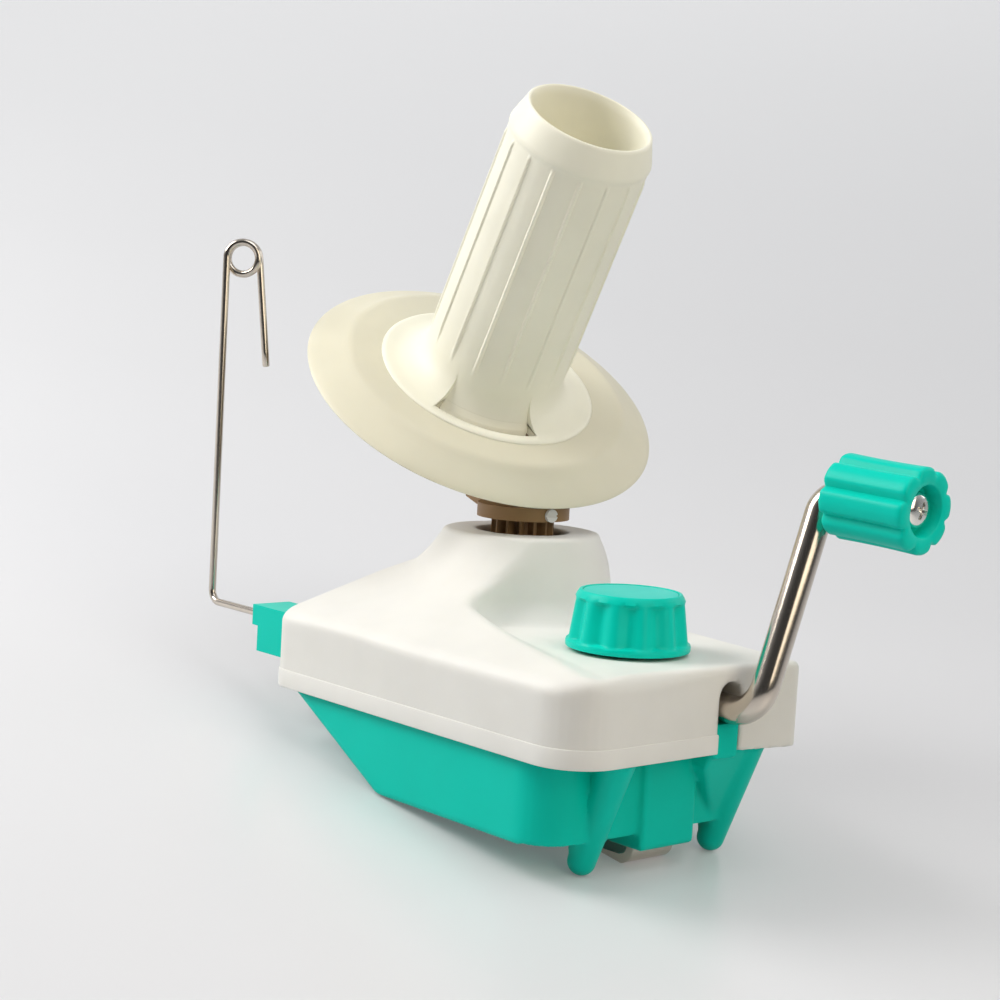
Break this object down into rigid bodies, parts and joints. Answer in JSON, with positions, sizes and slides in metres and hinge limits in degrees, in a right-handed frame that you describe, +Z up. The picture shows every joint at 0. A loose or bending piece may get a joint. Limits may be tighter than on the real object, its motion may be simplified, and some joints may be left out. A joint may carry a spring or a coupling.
{
  "type": "yarn ball winder",
  "caption": "Table-clamped yarn ball winder: hand crank, gear-driven tilted bobbin on an orbiting carrier, fold-down wire yarn guide and screw clamp on a two-part moulded body.",
  "frame": {"origin": "on the flat seat face under the body, half way along it, in the middle plane of the clamp", "axes": "+X along the body towards the crank, +Y towards the back of the body, +Z up, out of the table top"},
  "size_m": [0.2442, 0.1359, 0.2214],
  "materials": {
    "teal": "moulded, soft gloss",
    "teal_lid": "moulded, satin",
    "white": "moulded, soft gloss",
    "ivory": "moulded, satin",
    "crown_white": "moulded",
    "brown": "moulded",
    "steel": "zinc plated",
    "nickel": "nickel plated",
    "dark_steel": "blackened",
    "brass": "plain",
    "nylon": "plain"
  },
  "bodies": {
    "base": {"lower_housing": "teal", "upper_cover": "white", "cover_screw_1": "steel", "cover_screw_2": "steel", "cover_screw_3": "steel", "cover_screw_4": "steel", "spindle_post": "steel", "thrust_washer": "nylon", "sun_gear": "brown", "inner_bush": "brass", "outer_bush": "brass", "guide_bracket": "teal", "bracket_screw": "steel", "knob_washer": "nylon"},
    "crank": {"crank_rod": "nickel", "crown_gear": "crown_white", "crank_collar": "steel", "collar_screw": "dark_steel", "grip_screw": "nickel"},
    "grip": {"crank_grip": "teal"},
    "carrier": {"carrier": "brown", "carrier_screw": "nickel", "tilted_axle": "steel", "axle_nut": "dark_steel", "bobbin_washer": "nickel", "axle_screw": "nickel"},
    "bobbin": {"bobbin_barrel": "ivory", "bobbin_plate": "ivory", "bobbin_gear": "brown"},
    "guide": {"yarn_guide": "nickel"},
    "knob": {"clamp_knob": "teal", "knob_cap": "teal_lid", "clamp_screw": "steel", "screw_clip": "dark_steel"},
    "jaw": {"clamp_jaw": "steel", "clamp_nut": "steel"}
  },
  "joints": [
    {"name": "crank_turn", "type": "hinge", "parent": "base", "child": "crank", "pos_m": [-0.05, 0.0233, 0.036], "axis": [0.9938, -0.1115, 0], "continuous": true},
    {"name": "grip_spin", "type": "hinge", "parent": "crank", "child": "grip", "pos_m": [0.08611, 0.0311, 0.09639], "axis": [0.9971, 0.0546, -0.0528], "continuous": true},
    {"name": "carrier_spin", "type": "hinge", "parent": "base", "child": "carrier", "pos_m": [-0.05, 0.0233, 0.08], "axis": [0, 0, 1], "continuous": true},
    {"name": "bobbin_spin", "type": "hinge", "parent": "carrier", "child": "bobbin", "pos_m": [-0.0805, 0.02906, 0.1135], "axis": [0.5352, -0.1011, 0.8387], "continuous": true},
    {"name": "guide_fold", "type": "hinge", "parent": "base", "child": "guide", "pos_m": [-0.107, -0.0322, 0.0398], "axis": [1, 0, 0], "range_deg": [-95, 95]},
    {"name": "knob_turn", "type": "hinge", "parent": "base", "child": "knob", "pos_m": [0.0234, 0, 0.05], "axis": [0, 0, 1], "range_deg": [0, 5040]},
    {"name": "clamp_slide", "type": "slide", "parent": "base", "child": "jaw", "axis": [0, 0, -1], "range_m": [0, 0.028]}
  ],
  "couplings": [
    {"joint": "carrier_spin", "follows": "crank_turn", "ratio": -2.5714},
    {"joint": "bobbin_spin", "follows": "crank_turn", "ratio": -0.58442},
    {"joint": "knob_turn", "follows": "clamp_slide", "rad_per_m": 3141.6}
  ]
}
